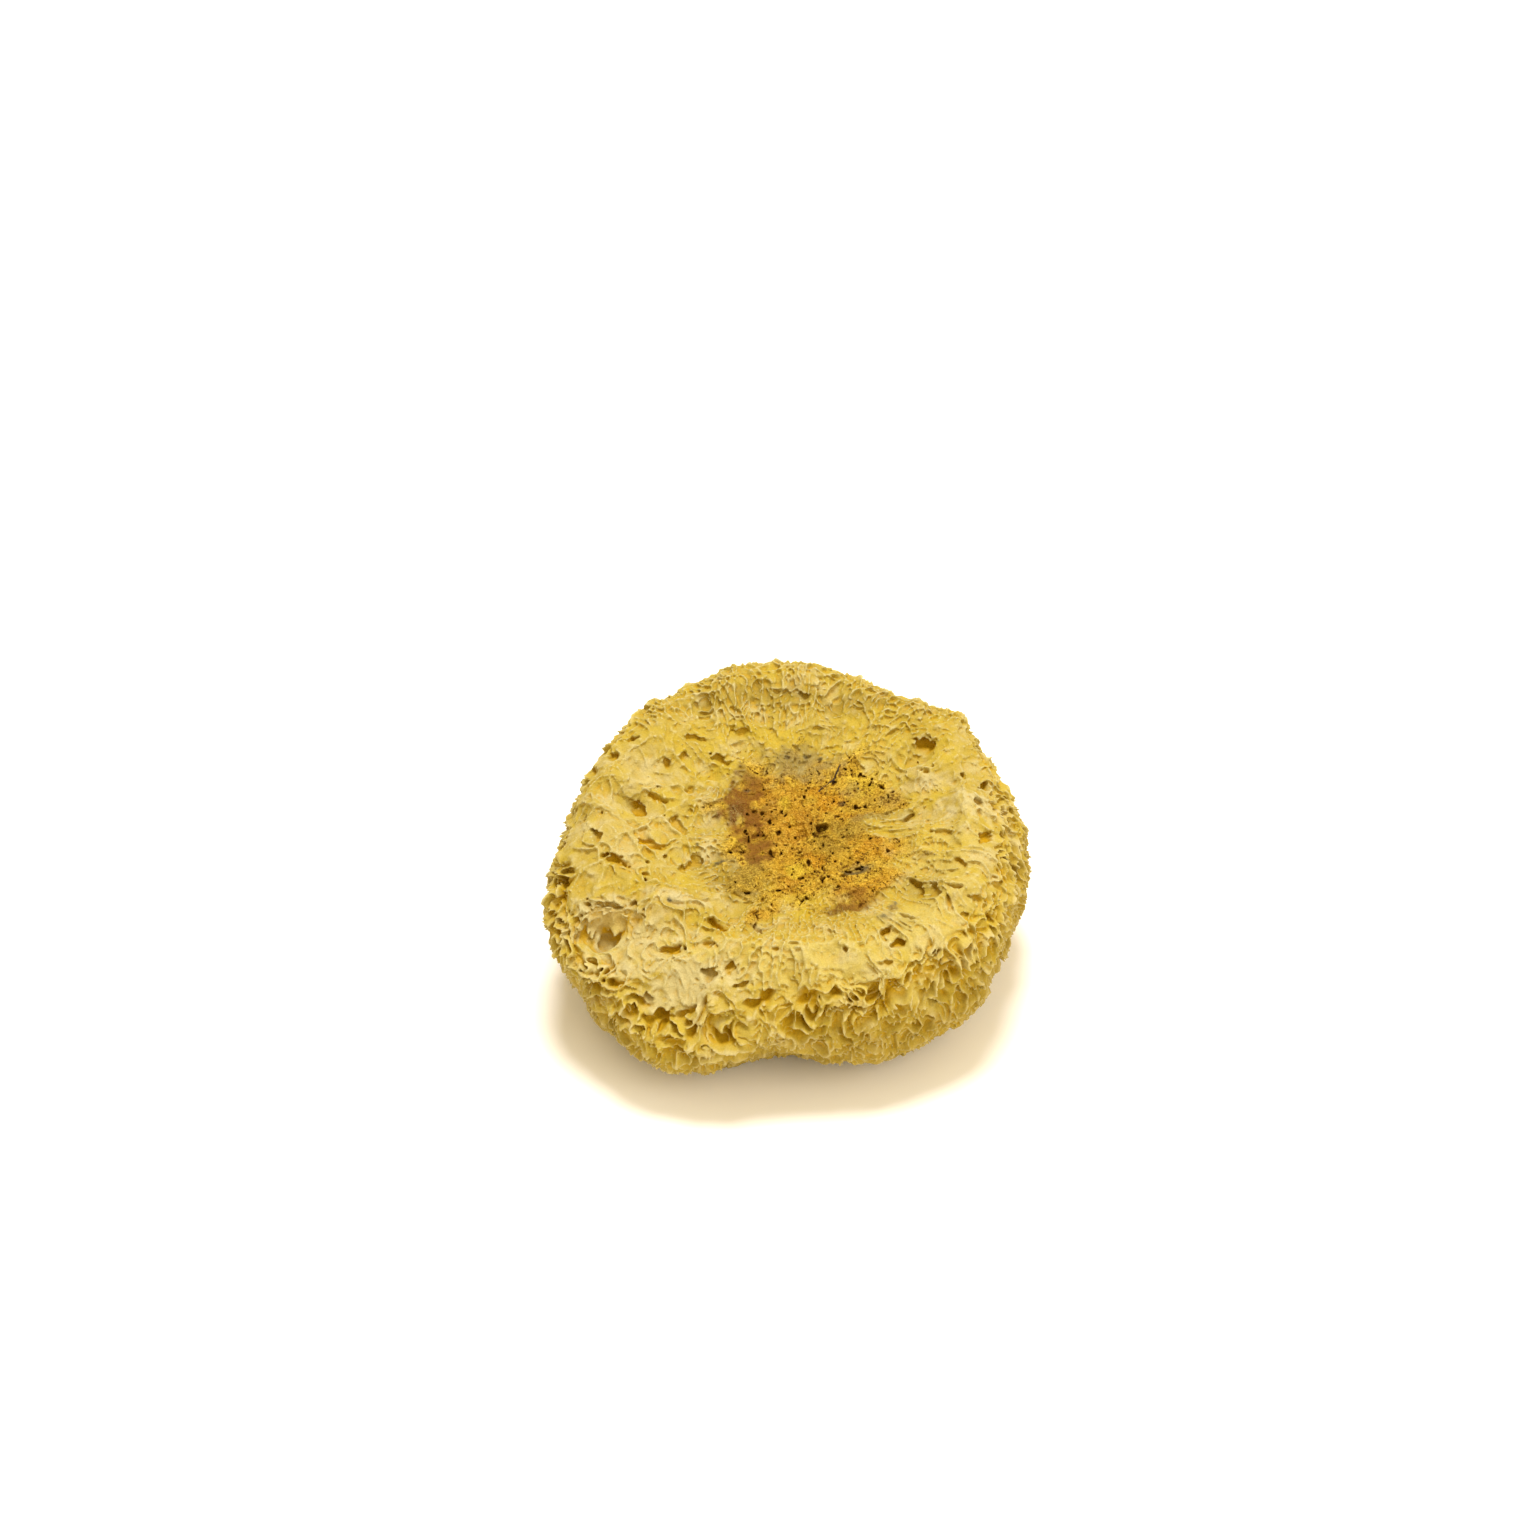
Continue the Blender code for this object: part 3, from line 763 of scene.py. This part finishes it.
def sharpness(points, triangles, normals):
    """How sharply the surface stands out at each point, below 0 where it is hollow."""
    edges = np.concatenate((triangles[:, (0, 1)], triangles[:, (1, 2)], triangles[:, (2, 0)]))
    start, end = edges.T
    step = points[end] - points[start]
    step /= np.linalg.norm(step, axis=1, keepdims=True) + 1e-6
    count = np.bincount(start, minlength=len(points)) + 1e-6
    fall = np.bincount(start, -(normals[start] * step).sum(1), len(points)) / count
    spread = np.bincount(start, fall[end], len(points)) / count
    return 0.5 * fall + 0.5 * spread


def stain_and_shade(place, spots, ragged):
    """How strongly points take the patches of a list, from 0 to 1: stains, and in the olive list also
    painted shade.
    """
    result = np.zeros(len(ragged), np.float32)
    for *spot, strength in spots:
        inside = 1 - smooth_step(0.5, 1.6, place.away_from(*spot) + 1.2 * ragged)
        result = np.maximum(result, strength * inside)
    return result * place.on_top


def colour_values(fields, solid, points):
    """Values at the mesh's points that the material turns into colours."""
    distance = solid.values(solid.distance, points)
    place = solid.place(fields, points, distance, solid.values(solid.slope, points))
    ragged = 0.35 * fields.wave(place.foot, 1.7, 0.5) + 0.2 * fields.wave(place.foot, 0.7)
    scar = (1 - smooth_step(0.84, 1.12, place.reach)) * place.on_top
    pore = pores(fields, place) * (1 - smooth_step(0.96, 1.08, place.reach)) * place.on_top
    deep = smooth_step(0.8, 1.7, -distance)
    # The material paints the depth below the solid and the pores' insides partly as painted shade.
    values = {
        "shape": (np.clip(-distance / 3.5, 0, 1), scar, pore * deep),
        "low": (place.low * place.flank, place.flank),
    }
    for name, *kinds in (
        ("warm", ORANGE, RUSSET, PURPLE),
        ("cool", GREY, OLIVE, BLUE_GREY),
        ("pale", YELLOW, WHITE, CREAM),
    ):
        values[name] = [stain_and_shade(place, spots, ragged) for spots in kinds]
    return values


def set_values(mesh, values, chosen):
    """Stores up to three values a point under each name, and 0 where there are fewer."""
    for name, parts in values.items():
        layer = mesh.attributes.new(name, "FLOAT_VECTOR", "POINT")
        packed = np.zeros((len(chosen), 3), np.float32)
        for axis, part in enumerate(parts):
            packed[:, axis] = part[chosen]
        layer.data.foreach_set("vector", packed.ravel())


class Nodes:
    """Short calls that add nodes to a material."""

    def __init__(self, material):
        material.use_nodes = True
        self.tree = material.node_tree
        self.shader = self.tree.nodes["Principled BSDF"]

    def add(self, kind):
        return self.tree.nodes.new("ShaderNode" + kind)

    def link(self, value, socket):
        if isinstance(value, bpy.types.NodeSocket):
            self.tree.links.new(value, socket)
        else:
            socket.default_value = value

    def feed(self, node, *values):
        """Gives a node its first inputs' values, and returns its first output."""
        for value, socket in zip(values, node.inputs):
            self.link(value, socket)
        return node.outputs[0]

    def parts(self, name):
        """The three values of a vector attribute."""
        attribute = self.add("Attribute")
        attribute.attribute_name = name
        return self.split(attribute.outputs["Vector"])

    def split(self, vector):
        node = self.add("SeparateXYZ")
        self.link(vector, node.inputs[0])
        return node.outputs[:3]

    def object_place(self):
        return self.add("TexCoord").outputs["Object"]

    def times(self, first, second):
        return self.math("MULTIPLY", first, second)

    def length(self, x, y):
        return self.math("SQRT", self.math("MULTIPLY_ADD", x, x, self.times(y, y)))

    def tint(self, colour, tints):
        """The colour with others laid over it: each is a share, its strength and a colour."""
        for share, strength, other in tints:
            colour = self.mix(self.times(share, strength), colour, other)
        return colour

    def math(self, operation, first, second=0.0, third=0.0, clamp=False):
        node = self.add("Math")
        node.operation = operation
        node.use_clamp = clamp
        return self.feed(node, first, second, third)

    def range(self, value, low, high, out_low=0.0, out_high=1.0):
        """The value, moved smoothly from one range to another and held at its ends."""
        node = self.add("MapRange")
        node.interpolation_type = "SMOOTHSTEP"
        return self.feed(node, value, low, high, out_low, out_high)

    def mix(self, share, first, second, blend="MIX"):
        """Two colours blended; a colour is three numbers or a socket."""
        node = self.add("Mix")
        node.data_type = "RGBA"
        node.blend_type = blend
        self.link(share, node.inputs["Factor"])
        for value, socket in ((first, node.inputs[6]), (second, node.inputs[7])):
            if isinstance(value, tuple):
                value = (*value, 1.0)
            self.link(value, socket)
        return node.outputs[2]

    def noise(self, size, detail=2.0):
        """Noise from 0 to 1 whose patches are about this many millimetres."""
        return self.noise_at(self.object_place(), 1 / (size * MM), detail).outputs["Fac"]

    def noise_at(self, place, scale, detail=2.0):
        node = self.add("TexNoise")
        node.inputs["Scale"].default_value = scale
        node.inputs["Detail"].default_value = detail
        self.link(place, node.inputs["Vector"])
        return node

    def creases(self, size):
        """1 in narrow winding creases that lie about this many millimetres apart."""
        away = self.math("ABSOLUTE", self.math("SUBTRACT", self.noise(2 * size, 1.0), 0.5))
        return self.range(away, 0.0, 0.06, 1.0, 0.0)

    def fibres(self, width, length):
        """Fine fibres that run out from the cut base, and where they show."""
        x, y, z = self.split(self.object_place())
        x = self.math("SUBTRACT", x, SCAR_PLACE[0] * MM)
        y = self.math("SUBTRACT", y, SCAR_PLACE[1] * MM)
        away = self.length(x, y)
        drawn = self.feed(
            self.add("CombineXYZ"),
            self.times(self.math("ARCTAN2", y, x), FIBRE_RADIUS / width),
            self.times(away, 1 / (length * MM)),
            self.times(z, 1 / (2 * MM)),
        )
        fibre = self.noise_at(drawn, 1.0).outputs["Fac"]
        # The angle jumps due left of the cut base, where other folds cover the face.
        share = self.range(self.math("DIVIDE", x, away), -0.8, -0.3)
        inner = self.range(away, 20 * MM, 30 * MM, 1.0, 0.4)
        return self.range(fibre, 0.50, 0.62), self.times(share, inner)

    def thread(self, bends, radius):
        """1 on a thin thread through these bends, as seen from above."""
        place_x, place_y, _ = self.split(self.object_place())
        nearest = 1.0
        for (start_x, start_y), (end_x, end_y) in zip(bends, bends[1:]):
            length = math.hypot(end_x - start_x, end_y - start_y)
            step_x, step_y = (end_x - start_x) / length, (end_y - start_y) / length
            x = self.math("SUBTRACT", place_x, start_x * MM)
            y = self.math("SUBTRACT", place_y, start_y * MM)
            along = self.math("MULTIPLY_ADD", x, step_x, self.times(y, step_y))
            along = self.math("MINIMUM", self.math("MAXIMUM", along, 0.0), length * MM)
            x = self.math("SUBTRACT", x, self.times(along, step_x))
            y = self.math("SUBTRACT", y, self.times(along, step_y))
            nearest = self.math("MINIMUM", self.length(x, y), nearest)
        return self.range(nearest, 0.6 * radius * MM, radius * MM, 1.0, 0.0)

    def specks(self, spacing, radius, share, warp):
        """1 in small specks, one in a share of the cells; warp makes them ragged."""
        place = self.object_place()
        shift = self.noise_at(place, 1 / (0.6 * MM)).outputs["Color"]
        moved = self.add("VectorMath")
        moved.operation = "MULTIPLY_ADD"
        node = self.add("TexVoronoi")
        node.inputs["Scale"].default_value = 1 / (spacing * MM)
        self.feed(node, self.feed(moved, shift, (warp * 2 * MM,) * 3, place))
        chance = self.feed(self.add("SeparateColor"), node.outputs["Color"])
        chosen = self.math("LESS_THAN", chance, share)
        edge = radius / spacing
        near = self.range(node.outputs["Distance"], 0.6 * edge, edge, 1.0, 0.0)
        return self.times(near, chosen)


# Colours of the dried fungus, as linear red, green and blue; some are laid on by depth and sharpness
# below, partly as painted light and shade
TIP = (0.78, 0.68, 0.34)
CREST = (0.75, 0.63, 0.275)
SLOPE = (0.58, 0.425, 0.070)
AMBER = (0.68, 0.385, 0.006)
SCAR_EDGE = (0.60, 0.38, 0.035)
SCAR_BRIGHT = (0.68, 0.48, 0.08)
SCAR_OCHRE = (0.42, 0.235, 0.010)
SCAR_ORANGE = (0.52, 0.235, 0.006)
SCAR_RUSSET = (0.36, 0.165, 0.012)
SCAR_PURPLE = (0.18, 0.068, 0.009)
STAIN_GREY = (0.30, 0.215, 0.07)
OLIVE_STAIN_AND_SHADE = (0.28, 0.18, 0.024)
STAIN_BLUE_GREY = (0.045, 0.042, 0.035)
PORE = (0.20, 0.085, 0.005)
FRESH_YELLOW = (0.68, 0.49, 0.03)
CHALKY = (0.75, 0.645, 0.345)
PALE_CREAM = (0.76, 0.62, 0.19)
LOW_FLANK_TONE_AND_SHADE = (0.45, 0.30, 0.032)
FLANK_GOLD = (0.60, 0.40, 0.02)
HOLLOW_CREAM = (0.62, 0.43, 0.115)
SPECK = (0.04, 0.035, 0.03)
THREAD_BROWN = (0.07, 0.045, 0.025)


def fungus_material():
    material = bpy.data.materials.new("dried_fungus")
    nodes = Nodes(material)
    hollow, scar, pore = nodes.parts("shape")
    orange, russet, purple = nodes.parts("warm")
    grey, olive, blue_grey = nodes.parts("cool")
    yellow, white, cream = nodes.parts("pale")
    low, flank, _ = nodes.parts("low")
    # Sharp crests and sunken nooks: the material paints highlights on the one and shade in the other.
    sharp, sunken, _ = nodes.parts("crest")
    tip_highlight = nodes.range(sharp, 0.04, 0.30)
    nook_shade = nodes.range(sunken, 0.04, 0.26)
    cloud = nodes.noise(3.0, 3.0)
    grain = nodes.noise(0.55, 3.0)
    felt = nodes.noise(0.28)
    fibres, streaked = nodes.fibres(0.55, 3.0)
    creases = nodes.creases(0.75)
    rough_skin = nodes.range(scar, 0.0, 1.0, 0.30, 1.0)

    # Partly the flesh's own tone and partly painted light: the deeper a point lies below the solid, the
    # darker and more amber it is painted (painted shade, and a painted glow as of light through thin
    # flesh), and the highest points are painted pale cream (a painted highlight).
    height = nodes.math("MULTIPLY_ADD", cloud, 0.12, nodes.math("SUBTRACT", hollow, 0.06))
    flesh = nodes.mix(nodes.range(height, 0.02, 0.26), CREST, SLOPE)
    fresh = nodes.range(nodes.noise(5.0), 0.48, 0.68)
    pale = nodes.range(nodes.noise(4.1), 0.50, 0.70)
    flesh = nodes.tint(flesh, (
        (yellow, 0.65, FRESH_YELLOW),
        (cream, 0.7, PALE_CREAM),
        (white, 0.75, CHALKY),
        (fresh, 0.45, FRESH_YELLOW),
        (pale, 0.42, CHALKY),
    ))
    # The colours painted into the hollows, in part as painted shade and glow.
    depths = nodes.mix(nodes.times(flank, 0.5), AMBER, FLANK_GOLD)
    depths = nodes.mix(nodes.range(white, 0.4, 0.8), depths, HOLLOW_CREAM)
    flesh = nodes.mix(nodes.range(height, 0.30, 0.80), flesh, depths)
    drawn = nodes.times(fibres, streaked)
    flesh = nodes.tint(flesh, (
        # Partly the lower flank's own duller tone and partly painted shade: it is painted darker
        # towards the floor.
        (low, 0.7, LOW_FLANK_TONE_AND_SHADE),
        # Olive stains, and on the far rim's inner slope painted shade.
        (olive, 0.6, OLIVE_STAIN_AND_SHADE),
        (drawn, 0.15, AMBER),
        (creases, 0.06, AMBER),
        # Painted shade in sunken nooks, and a painted highlight on sharp crests, partly the thin edges'
        # own paleness.
        (nook_shade, 0.6, AMBER),
        (tip_highlight, nodes.range(flank, 0.0, 1.0, 0.65, 0.4), TIP),
    ))

    mottle = nodes.math("MULTIPLY_ADD", cloud, 0.5, nodes.times(grain, 0.5))
    cut = nodes.mix(nodes.range(mottle, 0.36, 0.64), SCAR_OCHRE, SCAR_EDGE)
    cut = nodes.tint(cut, (
        (orange, nodes.range(grain, 0.35, 0.6, 0.75, 1.0), SCAR_ORANGE),
        (russet, 0.85, SCAR_RUSSET),
        (olive, 0.8, OLIVE_STAIN_AND_SHADE),
        (yellow, 0.8, FRESH_YELLOW),
        (drawn, 0.35, SCAR_RUSSET),
        (nodes.range(felt, 0.50, 0.66), 0.35, SCAR_BRIGHT),
        # On the cut base too: a painted highlight on sharp points and painted shade in sunken ones.
        (tip_highlight, 0.5, SCAR_BRIGHT),
        (nook_shade, 0.7, PORE),
    ))
    colour = nodes.tint(nodes.mix(scar, flesh, cut), (
        (grey, nodes.range(felt, 0.3, 0.6, 0.45, 0.9), STAIN_GREY),
        (purple, nodes.range(felt, 0.3, 0.6, 0.5, 1.0), SCAR_PURPLE),
        (blue_grey, 0.8, STAIN_BLUE_GREY),
    ))
    crowded = nodes.range(nodes.noise(3.4, 1.0), 0.42, 0.60, 0.10, 0.95)
    smeared = nodes.math("MAXIMUM", nodes.math("MAXIMUM", olive, purple), russet)
    open_scar = nodes.math("SUBTRACT", scar, nodes.times(smeared, 0.8), clamp=True)
    pinholes = nodes.times(nodes.specks(0.85, 0.32, crowded, 0.8), open_scar)
    # Partly painted shade: the pores and pinholes of the cut base are painted dark brown, standing in
    # for the shade inside them as well as the base's own brown.
    dark = nodes.math("MAXIMUM", pore, pinholes)
    colour = nodes.mix(dark, colour, PORE)
    colour = nodes.mix(nodes.specks(6.0, 0.28, 0.35, 0.0), colour, SPECK)
    thread = nodes.times(nodes.thread(THREAD, 0.2), scar)
    colour = nodes.mix(thread, colour, THREAD_BROWN)
    darkest = nodes.range(scar, 0.0, 1.0, 0.57, 0.58)
    lightest = nodes.range(scar, 0.0, 1.0, 0.68, 0.97)
    shade = nodes.range(felt, 0.28, 0.72, darkest, lightest)
    # Painted light: the flank is painted a little lighter, standing in for fill light falling on it.
    shade = nodes.math("MULTIPLY_ADD", flank, 0.06, shade)
    bright = nodes.feed(nodes.add("CombineColor"), shade, shade, shade)
    colour = nodes.mix(1.0, colour, bright, "MULTIPLY")
    nodes.link(colour, nodes.shader.inputs["Base Color"])

    nodes.link(nodes.range(grain, 0.3, 0.7, 0.5, 0.72), nodes.shader.inputs["Roughness"])
    nodes.shader.inputs["Specular IOR Level"].default_value = 0.08
    bump = nodes.add("Bump")
    bump.inputs["Distance"].default_value = 0.10 * MM
    rough_height = nodes.math("MULTIPLY_ADD", felt, nodes.range(scar, 0.0, 1.0, 0.8, 1.6), grain)
    for pattern, strength in ((creases, -1.2), (drawn, -0.8), (pinholes, -3.0)):
        rough_height = nodes.math("MULTIPLY_ADD", pattern, strength, rough_height)
    rough_height = nodes.times(rough_height, rough_skin)
    nodes.link(rough_height, bump.inputs["Height"])
    nodes.link(bump.outputs["Normal"], nodes.shader.inputs["Normal"])
    return material


# The pieces

PIECE_NAMES = ("face_left", "face_right", "lobes_right", "lobes_front", "lobes_left")


def shares_of_head(place_of_face, edge):
    """Which of five pieces of about the same size each triangle is in, the inner two first."""
    u, v, _ = place_of_face.T
    order = np.argsort(edge, kind="stable")
    piece = np.zeros(len(u), int)
    count = len(u)
    face = order[: count * 2 // 5]
    rest = order[count * 2 // 5 :]
    middle = np.median(u[face])
    piece[face] = u[face] > middle
    angle = np.arctan2(v[rest], u[rest])
    turn = (angle + math.pi / 2 + math.pi) % math.tau
    first, second = np.quantile(turn, (1 / 3, 2 / 3))
    piece[rest] = 2 + (turn > first) + (turn > second)
    return piece


def make_fungus():
    fields = Fields()
    solid = Solid()
    points, triangles, normals = thin_out(*grow(fields, solid))
    triangles = triangles[largest_part(len(points), triangles)]
    values = colour_values(fields, solid, points)
    sharp = sharpness(points, triangles, normals)
    # Where the surface is sharp or sunken, for the painted highlights and shade.
    values["crest"] = (np.maximum(sharp, 0), np.maximum(-sharp, 0))
    middles = to_head(points[triangles].mean(1))
    radius = round_the_head(EDGE_RADIUS, np.arctan2(middles[:, 1], middles[:, 0]))
    beyond = np.hypot(middles[:, 0], middles[:, 1]) / radius + np.maximum(-6 - middles[:, 2], 0) * 0.1
    piece = shares_of_head(middles, beyond)
    material = fungus_material()
    for number, name in enumerate(PIECE_NAMES):
        own = triangles[piece == number]
        chosen, renumbered = np.unique(own, return_inverse=True)
        mesh = make_mesh(name, points[chosen], renumbered.reshape(-1, 3))
        mesh.normals_split_custom_set_from_vertices(normals[chosen])
        set_values(mesh, values, chosen)
        mesh.materials.append(material)
        body = add_object(name, mesh)
        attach(body, "root")
        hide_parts("snow_fungus")


def make_stage():
    bpy.ops.mesh.primitive_plane_add(size=FLOOR_SIZE, location=(0, 0, 0))
    floor = bpy.context.object
    floor.name = "floor"
    material = bpy.data.materials.new("floor")
    shader = Nodes(material).shader
    shader.inputs["Base Color"].default_value = (*FLOOR_COLOUR, 1)
    shader.inputs["Roughness"].default_value = 0.8
    floor.data.materials.append(material)


def area_light(name, place, size, watts, colour):
    data = bpy.data.lights.new(name, "AREA")
    data.shape = "DISK"
    data.size = size
    data.energy = watts
    data.color = colour
    lamp = add_object(name, data)
    lamp.location = place
    x, y, z = place
    lamp.rotation_euler = (math.atan2(math.hypot(x, y), z), 0, math.atan2(-y, -x) - math.pi / 2)


def make_light():
    scene = bpy.context.scene
    scene.view_settings.view_transform = "Standard"
    world = bpy.data.worlds.new("studio")
    world.use_nodes = True
    sky = world.node_tree.nodes["Background"]
    sky.inputs["Color"].default_value = (*SKY_COLOUR, 1)
    sky.inputs["Strength"].default_value = SKY_STRENGTH
    scene.world = world
    for lamp in LAMPS:
        area_light(*lamp)


def make_camera():
    data = bpy.data.cameras.new("camera")
    data.lens = LENS_MM
    data.sensor_width = SENSOR_MM
    camera = add_object("camera", data)
    camera.location = CAMERA_PLACE * MM
    camera.rotation_euler = (math.pi / 2 - CAMERA_PITCH, 0, 0)
    bpy.context.scene.camera = camera


make_camera()
make_stage()
make_light()
make_fungus()
